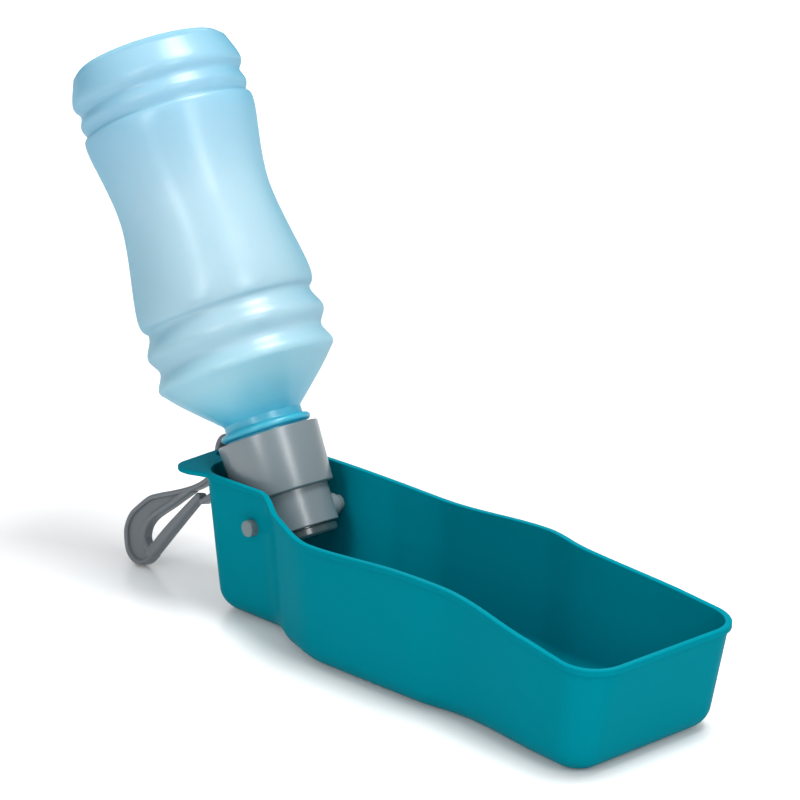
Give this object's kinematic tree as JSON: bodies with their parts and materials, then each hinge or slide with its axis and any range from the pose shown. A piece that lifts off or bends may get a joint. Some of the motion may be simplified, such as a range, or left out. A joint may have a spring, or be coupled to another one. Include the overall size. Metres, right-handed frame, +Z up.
{
  "type": "dog travel water bottle",
  "caption": "Squeeze bottle in a threaded cap, hinged in a long drinking trough that folds over it as a cover, with a valve nozzle and a belt clip.",
  "frame": {"origin": "on the floor, straight under the fold hinge, on the trough's middle plane", "axes": "+X towards the trough's low front end, +Y to the left of someone looking that way, +Z up; the fold hinge's line is parallel to Y"},
  "size_m": [0.3258, 0.084, 0.2354],
  "materials": {
    "trough": "moulded, opaque teal, smooth with a soft gloss",
    "bottle": "blow moulded, translucent light blue, satin",
    "cap": "moulded, mid grey, soft gloss",
    "pin": "moulded, light grey",
    "nozzle": "moulded, grey",
    "seal": "soft silicone, whitish",
    "clip": "moulded, dark grey, soft gloss"
  },
  "bodies": {
    "trough": {"trough": "trough"},
    "cap": {"cap": "cap", "pivot_pin_left": "pin", "pivot_pin_right": "pin", "slit_valve": "seal", "nozzle_ring": "nozzle"},
    "neck_seal": {"neck_washer": "seal"},
    "bottle": {"bottle": "bottle"},
    "clip": {"clip_hook": "clip"},
    "clip_arm": {"clip_arm": "clip"}
  },
  "joints": [
    {"name": "bottle_fold", "type": "hinge", "parent": "trough", "child": "cap", "pos_m": [0, 0, 0.0436], "axis": [0, 1, 0], "range_deg": [0, 106]},
    {"name": "bottle_lift", "type": "slide", "parent": "cap", "child": "neck_seal", "axis": [-0.4445, 0, 0.8958], "range_m": [0, 0.00631]},
    {"name": "bottle_unscrew", "type": "hinge", "parent": "neck_seal", "child": "bottle", "pos_m": [-0.01158, 0, 0.06018], "axis": [-0.4445, 0, 0.8958], "range_deg": [0, 540]},
    {"name": "clip_swing", "type": "hinge", "parent": "trough", "child": "clip", "pos_m": [-0.0472, 0.00234, 0.05902], "axis": [0, 0.9744, -0.225], "range_deg": [0, 90]},
    {"name": "arm_flex", "type": "hinge", "parent": "clip", "child": "clip_arm", "pos_m": [-0.08432, -0.00957, 0.00742], "axis": [0, -0.9744, 0.225], "range_deg": [0, 2.5], "stiffness_Nm_per_rad": 1.5}
  ],
  "couplings": [
    {"joint": "bottle_lift", "follows": "bottle_unscrew", "m_per_rad": 0.00066845}
  ]
}
